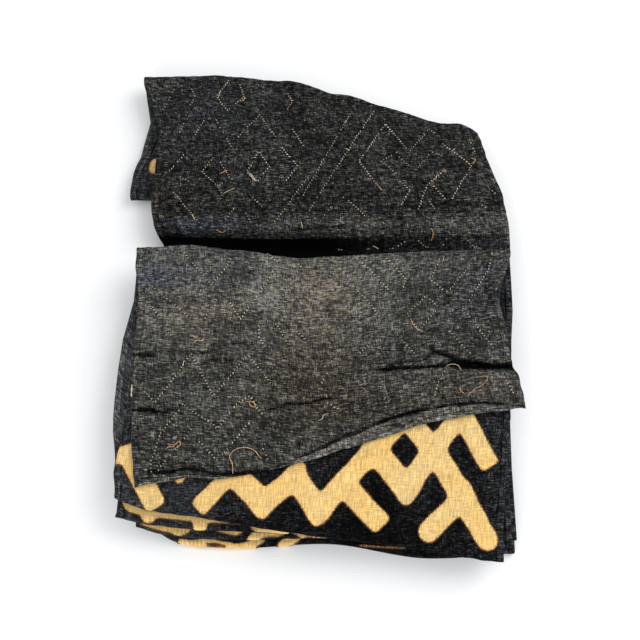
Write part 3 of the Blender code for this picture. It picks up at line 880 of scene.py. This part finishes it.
class Bundle:
    """Many small threads gathered into one mesh."""

    def __init__(self):
        self.points, self.faces, self.tint, self.count = [], [], [], 0

    def tube(self, line, radii, tint, sides=4):
        """A thread along line (n, 3) in mm, pinched at both ends."""
        line = np.asarray(line, float)
        n = len(line)
        tangent = np.gradient(line, axis=0)
        tangent /= np.maximum(np.linalg.norm(tangent, axis=1, keepdims=True), 1e-9)
        up = np.array([0.0, 0.0, 1.0])
        side = np.cross(tangent, up)
        weak = np.linalg.norm(side, axis=1) < 1e-3
        side[weak] = np.cross(tangent[weak], [1.0, 0, 0])
        side /= np.linalg.norm(side, axis=1, keepdims=True)
        high = np.cross(side, tangent)
        r = np.broadcast_to(radii, (n,))
        base = self.count
        for k in range(n):
            for m in range(sides):
                a = 2 * math.pi * m / sides + math.pi / 4
                self.points.append(line[k] + r[k] * (math.cos(a) * side[k] + math.sin(a) * high[k]))
        for k in range(n - 1):
            for m in range(sides):
                p, q = base + k * sides + m, base + k * sides + (m + 1) % sides
                self.faces.append((p, q, q + sides, p + sides))
        self.faces.append(tuple(base + m for m in reversed(range(sides))))
        self.faces.append(tuple(base + (n - 1) * sides + m for m in range(sides)))
        self.tint += [tint] * (n * sides)
        self.count += n * sides

    def build(self, name, mat):
        return add_mesh(name, np.array(self.points), self.faces, [mat], None,
                        [("tint", "FLOAT", np.array(self.tint))])


def resample(chain, every):
    """Points every so many mm along a chain, with the direction there."""
    d = np.linalg.norm(np.diff(chain[:, :2], axis=0), axis=1)
    run = np.concatenate([[0], np.cumsum(d)])
    n = int(run[-1] / every)
    if n < 2:
        return np.zeros((0, 2)), np.zeros((0, 2))
    at = (np.arange(n) + 0.5) * run[-1] / n
    p = np.stack([np.interp(at, run, chain[:, 0]), np.interp(at, run, chain[:, 1])], 1)
    e = 2.5
    q0 = np.stack([np.interp(at - e, run, chain[:, 0]), np.interp(at - e, run, chain[:, 1])], 1)
    q1 = np.stack([np.interp(at + e, run, chain[:, 0]), np.interp(at + e, run, chain[:, 1])], 1)
    g = q1 - q0
    return p, g / np.maximum(np.linalg.norm(g, axis=1, keepdims=True), 1e-9)


# Where patches show. Lattice column 0 of the top chart is 321 mm from the left hem, and its
# level 0 is 218 mm before the reference line.
# The folded edges below it and the side tab have charts of their own, from the left hem
# and the part's reference line.
THIRD_CHART = [
    Limb(0.5, 0.62, 6.5, 0.62, 16, ""), Limb(1.1, 0.5, 1.1, 0.32, 12, ""), Limb(2.9, 0.5, 2.9, 0.18, 12, ""), Limb(4.9, 0.3, 5.8, 0.2, 12, ""),
]
SECOND_CHART = [
    Limb(0.3, 0.42, 1.75, 0.42, 14, ""), Limb(1.5, 0.3, 1.55, 0.26, 10, ""), Limb(3.1, 0.62, 3.6, 0.52, 17, ""),
    Limb(4.5, 0.42, 5.15, 0.42, 15, ""), Limb(4.4, 0.2, 4.2, 0.02, 9, ""), Limb(5.35, 0.42, 6.0, 0.12, 4, ""), Limb(6.0, 0.12, 7.0, 0.02, 2, ""),
]
BOTTOM_CHART = [
    Limb(1.2, -0.02, 3.9, -0.02, 5, ""), Limb(1.2, 0.1, 2.0, 0.18, 6, ""), Limb(2.0, 0.26, 2.35, 0.28, 4, ""), Limb(2.35, 0.28, 3.0, 0.18, 3.5, ""),
    Limb(3.05, 0.1, 3.6, 0.08, 6, ""), Limb(3.6, 0.08, 4.2, 0.33, 8, ""), Limb(5.0, 0.05, 5.5, 0.33, 10, ""), Limb(7.9, 0.13, 9.6, 0.33, 2, ""),
]
TAB_CHART = [Limb(0.62, 1.7, 0.68, 1.42, 12, "")]


PATCH_AREAS = [
    # part, limbs, t from, t to, grid steps in mm across and along, wobble, seed
    ("top", limbs_of(TOP_CHART, 0, 0, 321, -218), -330.0, 30.0, 3.0, 3.0, 1.0, 101),
    ("third", limbs_of(THIRD_CHART), -6.0, 34.0, 3.0, 1.3, 0.3, 111),
    ("second", limbs_of(SECOND_CHART), -6.0, 26.0, 3.0, 1.3, 0.3, 121),
    ("bottom", limbs_of(BOTTOM_CHART), -8.0, 21.0, 3.0, 1.3, 0.3, 131),
    ("bottom", spread(-0.5, -8.6, 3, 2), -385.0, -22.0, 5.0, 5.0, 1.0, 151),
    ("tab", limbs_of(TAB_CHART), 30.0, 110.0, 2.0, 2.0, 0.3, 141),
]


def make_patches():
    pts, faces, st = [], [], []
    whip = Bundle()
    base = 0
    for part, limbs, t0, t1, s_step, t_step, wobble, seed in PATCH_AREAS:
        s_line = np.arange(1.5, WIDTH - 1.4, s_step)
        t_line = np.arange(t0, t1, t_step)
        sg, tg = np.meshgrid(s_line, t_line, indexing="ij")
        f = field(limbs, sg, tg, wobble, seed)
        p, polys, chains, links = contour(s_line, t_line, f, 0.0)
        if not len(p):
            continue
        rim = np.zeros(len(p), bool)
        rim[[k for c in chains for k in c]] = True
        lift = np.where(rim, 0.62, 0.95)
        top = on_cloth(part, p[:, 0], p[:, 1], lift)
        low = on_cloth(part, p[:, 0], p[:, 1], np.full(len(p), 0.10))
        # edges of the area that are not outlines get a wall too
        edge_count = {}
        for poly in polys:
            for a, b in zip(poly, poly[1:] + poly[:1]):
                edge_count[(a, b)] = True
        walls = [(a, b) for (a, b) in edge_count if (b, a) not in edge_count]
        need = sorted({k for e in walls for k in e})
        low_index = {k: len(p) + i for i, k in enumerate(need)}
        pts.append(top); pts.append(low[need])
        inside = np.maximum(-p[:, 2], 0) * MM
        st.append(np.stack([p[:, 0] * MM, p[:, 1] * MM, inside], 1))
        st.append(np.stack([p[need, 0] * MM, p[need, 1] * MM, inside[need]], 1))
        faces += [[base + k for k in poly] for poly in polys]
        faces += [[base + b, base + a, base + low_index[a], base + low_index[b]] for a, b in walls]
        base += len(p) + len(need)
        # whip stitches over the outline
        for c in chains:
            q, g = resample(p[c], 3.1)
            if not len(q):
                continue
            out = np.stack([g[:, 1], -g[:, 0]], 1)       # away from the patch
            rng = np.random.default_rng(seed + len(c))
            lean = rng.uniform(-0.9, 0.9, len(q))[:, None]
            inn = q - out * rng.uniform(1.6, 3.4, len(q))[:, None] + g * lean
            far = q + out * rng.uniform(0.6, 1.7, len(q))[:, None] - g * lean * 0.5
            a = on_cloth(part, inn[:, 0], inn[:, 1], np.full(len(q), 0.98))
            b = on_cloth(part, q[:, 0], q[:, 1], np.full(len(q), 1.02))
            d = on_cloth(part, far[:, 0], far[:, 1], np.full(len(q), 0.22))
            tints = rng.uniform(0, 1, len(q)) ** 3.2
            for k in range(len(q)):
                whip.tube([a[k], b[k], d[k]], (0.42, 0.68, 0.46), tints[k])
    ob = add_mesh("tan_patches", np.concatenate(pts), faces, [patch_material()], None,
                  [("st", "FLOAT_VECTOR", np.concatenate(st))])
    stitches = whip.build("whip_stitches", thread_material(
        "whip_thread", [(0.006, 0.003, 0.003), (0.018, 0.007, 0.005), (0.17, 0.048, 0.012), (0.52, 0.18, 0.040)]))
    return ob, stitches


# Lines of stitches that show through, charted by their corners on a lattice of 10 mm
# over the table: (strength, corners).
REVERSE_STEP = 10.0
REVERSE_CHART = {
    "rear": [
        (0.7, [(-21, 40), (-23, 36)]), (0.7, [(-19, 40), (-16, 34)]), (0.9, [(-15, 36), (-11, 41), (-8, 36)]),
        (0.9, [(-17, 49), (-19, 45), (-17, 42), (-14, 45), (-15, 48)]), (0.9, [(-24, 47), (-23, 45), (-24, 43)]),
        (0.7, [(-27, 47), (-29, 42)]), (0.7, [(-24, 41), (-26, 36)]), (0.7, [(-24, 33), (-27, 29)]),
        (0.9, [(-19, 32), (-21, 29), (-18, 26), (-16, 28), (-18, 31)]),
        (0.9, [(-11, 33), (-9, 30), (-11, 27), (-13, 29), (-11, 33)]), (0.7, [(-26, 25), (-21, 19)]),
        (0.7, [(-25, 28), (-23, 27)]), (0.7, [(-18, 26), (-17, 24)]), (0.7, [(-15, 22), (-17, 19)]),
        (0.7, [(-12, 24), (-10, 22)]), (0.7, [(-13, 21), (-12, 19)]), (0.7, [(-2, 28), (-8, 19)]),
        (0.9, [(-6, 46), (-5, 44), (-6, 42)]), (0.7, [(-5, 38), (-3, 34)]), (0.7, [(-3, 40), (-2, 39)]),
        (0.9, [(-7, 34), (-4, 30), (-6, 27)]), (0.7, [(6, 42), (-3, 24)]), (0.7, [(10, 42), (-2, 21)]),
        (0.9, [(12, 39), (7, 31), (11, 25)]), (0.9, [(12, 39), (16, 33), (20, 38), (21, 37)]),
        (0.9, [(22, 35), (27, 30), (23, 23)]), (0.7, [(27, 36), (28, 33)]), (0.9, [(14, 33), (11, 31), (14, 28)]),
        (0.7, [(14, 32), (16, 30)]), (0.7, [(20, 33), (17, 29)]), (0.7, [(20, 33), (22, 32)]),
        (0.9, [(22, 29), (19, 26), (17, 21)]), (0.7, [(20, 26), (22, 23)]), (0.9, [(14, 27), (16, 25), (14, 22)]),
        (0.7, [(19, 23), (20, 21)]), (0.7, [(2, 22), (0, 19)]), (0.7, [(4, 24), (8, 20)]),
        (0.7, [(28, 22), (29, 21)]), (0.7, [(30, 25), (31, 24)]), (0.7, [(11, 19), (11, 17)]),
        (0.7, [(15, 16), (12, 14)]), (0.7, [(25, 16), (27, 13)]), (0.7, [(17, 16), (19, 14)]),
        (0.7, [(22, 16), (21, 14)]), (0.7, [(3, 16), (4, 14)]), (0.7, [(-1, 38), (-1, 36)]),
    ],
    "top": [
        (0.9, [(-23, 12), (-18, 6), (-16, 9)]), (0.7, [(-15, 11), (-16, 9)]),
        (0.9, [(-9, 12), (-7, 10), (-13, 0), (-15, 3)]), (0.7, [(-3, 10), (-7, 3)]), (0.7, [(-28, 6), (-21, 0)]),
        (0.9, [(-28, 5), (-28, 3), (-26, 0)]),
        (0.9, [(-28, -12), (-26, -14), (-21, -6), (-17, -13), (-12, -6), (-8, -11)]),
        (0.9, [(-22, -14), (-16, -18), (-13, -14)]), (0.9, [(-13, -14), (-11, -13), (-9, -16)]),
        (0.9, [(-19, -20), (-16, -23), (-11, -17)]), (0.9, [(-22, -15), (-25, -19), (-26, -23), (-26, -25)]),
        (0.7, [(-20, -18), (-26, -26)]), (0.7, [(-9, -21), (-8, -23)]), (0.9, [(-10, -1), (-10, -3), (-9, -5)]),
        (0.7, [(-7, -1), (-5, -5)]), (0.7, [(-26, -1), (-24, -3)]), (0.9, [(-19, 3), (-18, 2), (-19, 0)]),
        (0.7, [(6, 11), (11, 5)]), (0.9, [(11, 11), (14, 7), (13, 5)]), (0.9, [(20, 11), (18, 7), (20, 5)]),
        (0.7, [(26, 11), (21, 5)]), (0.9, [(29, 12), (28, 9), (24, 3)]), (0.7, [(5, 6), (10, 0)]),
        (0.9, [(17, 4), (19, 2), (16, -2), (14, 1), (17, 4)]), (0.7, [(20, -1), (24, -6)]),
        (0.7, [(23, 2), (28, -5)]), (0.7, [(12, -2), (15, -6)]), (0.7, [(8, -4), (6, -6)]),
        (0.7, [(20, -8), (18, -13)]), (0.7, [(29, -9), (31, -13)]), (0.7, [(7, -9), (7, -12)]),
        (0.7, [(10, -13), (11, -14)]), (0.7, [(1, -14), (3, -15)]), (0.7, [(-3, 4), (-4, 3)]),
        (0.7, [(-4, -2), (-2, -4)]), (0.7, [(1, -9), (0, -11)]),
    ],
}
# Loose ends of thread lying on the reverse: tone from 0 (dark) to 1 (pale), radius in mm, line in mm.
Loose = namedtuple("Loose", "panel tone radius line")
LOOSE = [
    Loose("rear", 0.45, 0.9, [(-178, 285), (-171, 289), (-164, 293)]),
    Loose("rear", 0.95, 0.6, [(-126, 285), (-121, 279), (-114, 271), (-119, 281), (-125, 287)]),
    Loose("rear", 0.75, 0.7, [(-171, 245), (-161, 251), (-150, 257)]),
    Loose("rear", 0.45, 0.8, [(-181, 180), (-172, 177), (-165, 179)]),
    Loose("rear", 0.50, 0.8, [(104, 259), (110, 251)]),
    Loose("rear", 0.45, 0.9, [(-142, 440), (-137, 449)]),
    Loose("rear", 0.70, 0.6, [(-184, 462), (-188, 447)]),
    Loose("rear", 0.90, 0.6, [(45, 338), (52, 332)]),
    Loose("rear", 0.85, 0.7, [(-224, 206), (-218, 196)]),
    Loose("rear", 0.90, 0.7, [(93, 156), (98, 154), (103, 149)]),
    Loose("rear", 0.80, 0.6, [(81, 142), (88, 144)]),
    Loose("rear", 0.40, 0.8, [(193, 176), (197, 167), (193, 156)]),
    Loose("rear", 0.50, 0.8, [(271, 316), (278, 312), (272, 305)]),
    Loose("rear", 0.80, 0.6, [(239, 332), (245, 338)]),
    Loose("rear", 0.45, 0.7, [(219, 293), (224, 287), (216, 287)]),
    Loose("rear", 0.55, 0.7, [(208, 281), (204, 271)]),
    Loose("rear", 0.60, 0.5, [(237, 200), (250, 202)]),
    Loose("rear", 0.70, 0.5, [(251, 229), (264, 231)]),
    Loose("rear", 0.80, 0.6, [(-33, 192), (-30, 182)]),
    Loose("top", 0.70, 0.8, [(-205, -41), (-199, -36), (-192, -38), (-188, -32)]),
    Loose("top", 0.40, 1.0, [(-112, -137), (-104, -140), (-101, -147), (-108, -145), (-112, -139)]),
    Loose("top", 0.62, 0.7, [(-134, -250), (-136, -235), (-140, -223), (-132, -213), (-117, -210), (-102, -215), (-92, -227)]),
    Loose("top", 0.42, 0.7, [(-238, -210), (-229, -209), (-220, -201), (-217, -206), (-225, -212)]),
    Loose("top", 0.42, 0.6, [(-240, -214), (-231, -206), (-222, -205)]),
    Loose("top", 0.90, 0.6, [(-3, -169), (3, -166), (6, -160), (13, -157)]),
    Loose("top", 0.50, 0.7, [(147, 0), (150, -8), (158, -17)]),
    Loose("top", 0.70, 0.7, [(200, -80), (210, -75), (219, -78), (224, -85)]),
    Loose("top", 0.62, 0.5, [(234, -129), (244, -118), (259, -110), (267, -101), (264, -96), (250, -98)]),
    Loose("top", 0.62, 0.6, [(222, -116), (223, -121), (228, -124)]),
    Loose("top", 0.70, 0.5, [(203, 102), (208, 113)]),
    Loose("top", 0.85, 0.6, [(-222, -80), (-220, -71)]),
    Loose("top", 0.95, 1.0, [(-299, -110), (-298, -120), (-298, -129)]),
]


def make_reverse_stitches():
    """Each stitch is a short pale bar with a near-black bar beside it, painted shade for the needle hole."""
    dots = Bundle()
    rng = np.random.default_rng(77)
    for panel, lines in REVERSE_CHART.items():
        x, y, gx, gy, plain = [], [], [], [], []
        for strength, line in lines:
            strength = 0.36 + 0.58 * strength
            q, g = resample(np.array(line, float) * REVERSE_STEP, 5.5)
            # the sewing wavers, and now and then a stitch doesn't show
            wave = 0.5 * value_noise(q[:, 0] / 14, q[:, 1] / 14, 55)
            keep = rng.uniform(size=len(q)) > 0.05 + 0.25 * (1 - strength)
            q = q + np.stack([-g[:, 1], g[:, 0]], 1) * wave[:, None] + rng.normal(0, 0.28, q.shape)
            x += list(q[keep, 0]); y += list(q[keep, 1]); gx += list(g[keep, 0]); gy += list(g[keep, 1])
            plain += [strength] * int(keep.sum())
        x, y, g, plain = np.array(x), np.array(y), np.stack([gx, gy], 1), np.array(plain)
        turn = rng.normal(0, 0.45, len(x)) + 0.9
        d = np.stack([g[:, 0] * np.cos(turn) - g[:, 1] * np.sin(turn), g[:, 0] * np.sin(turn) + g[:, 1] * np.cos(turn)], 1)
        half = rng.uniform(1.0, 1.9, len(x))
        pale = rng.uniform(size=len(x)) ** 0.6
        faint = plain * (0.75 + 0.25 * smooth(-0.3, 0.3, value_noise(x / 60, y / 60, 91)))     # some stretches are worn
        ends = []
        for k in (-1, 0, 1):
            ui, wi = at_place(panel, x + d[:, 0] * half * k, y + d[:, 1] * half * k)
            ends.append(off_cloth(ui, wi, np.full(len(x), -1.9 if k == 0 else -1.3)))
        for k in range(len(x)):
            dots.tube([ends[0][k], ends[1][k], ends[2][k]], (0.6 * faint[k] + 0.2, 1.0 * faint[k] + 0.35, 0.6 * faint[k] + 0.2), 0.30 + 0.70 * pale[k] * faint[k])
        # a near-black bar beside each stitch (tint 0) is painted shade for its needle hole
        hx, hy = x + g[:, 0] * 3.0 + rng.normal(0, 0.4, len(x)), y + g[:, 1] * 3.0 + rng.normal(0, 0.4, len(x))
        ends = []
        for k in (-1, 0, 1):
            ui, wi = at_place(panel, hx + d[:, 0] * 1.3 * k, hy + d[:, 1] * 1.3 * k)
            ends.append(off_cloth(ui, wi, np.full(len(x), -1.25 if k == 0 else -0.9)))
        for k in range(len(x)):
            if rng.uniform() < 0.8:
                dots.tube([ends[0][k], ends[1][k], ends[2][k]], (0.8, 1.3 * plain[k] + 0.4, 0.8), 0.0)
    return dots.build("reverse_stitches", thread_material(
        "reverse_thread_and_hole_shade", [(0.0012, 0.0012, 0.0012), (0.31, 0.24, 0.16), (0.58, 0.50, 0.37), (0.86, 0.79, 0.65)]))


def make_loose_threads():
    loose = Bundle()
    for k, th in enumerate(LOOSE):
        line = np.array(th.line, float)
        n = max(4 * (len(line) - 1), 6) + 1
        at = np.linspace(0, 1, n)
        x, y = across(line[:, 0], at), across(line[:, 1], at)
        ui, wi = at_place(th.panel, x, y)
        rise = 1.15 + th.radius + 0.9 * np.sin(at * math.pi) * (1 + 0.5 * value_noise(at * 3 + k, at * 0, 61))
        mid = off_cloth(ui, wi, -rise)
        # two plies twisted round each other
        for ply in (0, math.pi):
            a = at * n * 0.9 + ply + k
            turn = np.stack([np.cos(a), 0.3 * np.cos(a), 0.5 * np.sin(a)], 1) * th.radius * 0.55
            loose.tube(mid + turn, th.radius * 0.62 * np.clip(1.2 * np.sin(np.clip(at, 0.04, 0.96) * math.pi) ** 0.3, 0.35, 1), th.tone, 5)
    return loose.build("loose_threads", thread_material(
        "loose_thread", [(0.03, 0.012, 0.008), (0.66, 0.29, 0.10), (0.78, 0.50, 0.26), (0.90, 0.78, 0.54)], 0.5))


cloth = make_cloth()
patches, whips = make_patches()
dots = make_reverse_stitches()
loose = make_loose_threads()
made = [patches, whips, dots, loose]

for ob in [cloth, *made]:
    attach(ob, "root")
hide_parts("kuba_cloth")

# ============================================================ floor, light, camera
def stage_material():
    n = Nodes("pale_paper")
    geo = n.tree.nodes.new("ShaderNodeTexCoord")
    v = n.noise(geo.outputs["Object"], 3.0, 3.0)
    n.put(n.shader.inputs["Base Color"], n.mix(v, (0.93, 0.93, 0.93), (0.95, 0.95, 0.95)))
    n.shader.inputs["Roughness"].default_value = 0.95
    n.shader.inputs["Specular IOR Level"].default_value = 0.1
    return n.mat


floor_mesh = bpy.data.meshes.new("floor")
floor_mesh.from_pydata([(-8, -8, -0.0004), (8, -8, -0.0004), (8, 8, -0.0004), (-8, 8, -0.0004)], [], [(0, 1, 2, 3)])
floor_mesh.materials.append(stage_material())
floor = bpy.data.objects.new("floor", floor_mesh)
bpy.context.scene.collection.objects.link(floor)

world = bpy.data.worlds.new("soft_studio")
bpy.context.scene.world = world
world.use_nodes = True
world.node_tree.nodes["Background"].inputs[0].default_value = (0.97, 0.985, 1.0, 1)
world.node_tree.nodes["Background"].inputs[1].default_value = 0.79


def area_light(name, place, target, size, power, colour=(1, 1, 1)):
    data = bpy.data.lights.new(name, "AREA")
    data.shape = "DISK"
    data.size = size
    data.energy = power
    data.color = colour
    ob = bpy.data.objects.new(name, data)
    ob.location = place
    d = np.array(target, float) - np.array(place, float)
    from mathutils import Vector
    ob.rotation_euler = Vector(d).to_track_quat("-Z", "Y").to_euler()
    bpy.context.scene.collection.objects.link(ob)
    return ob


area_light("key", (2.0, 1.05, 2.2), (0, 0, 0), 2.4, 50)
area_light("fill", (-0.5, -2.3, 1.15), (0, -0.2, 0.02), 1.6, 19)

cam_data = bpy.data.cameras.new("camera")
cam_data.sensor_width = 36.0
cam_data.lens = 825.0 / 640.0 * 36.0
cam_data.clip_start, cam_data.clip_end = 0.05, 60
cam = bpy.data.objects.new("camera", cam_data)
cam.location = (0.0 - CENTRE[0] * MM, -0.4617 - CENTRE[1] * MM, 1.3386)
cam.rotation_euler = (math.radians(90 - 70), 0, 0)
bpy.context.scene.collection.objects.link(cam)
bpy.context.scene.camera = cam
bpy.context.scene.view_settings.view_transform = "Standard"
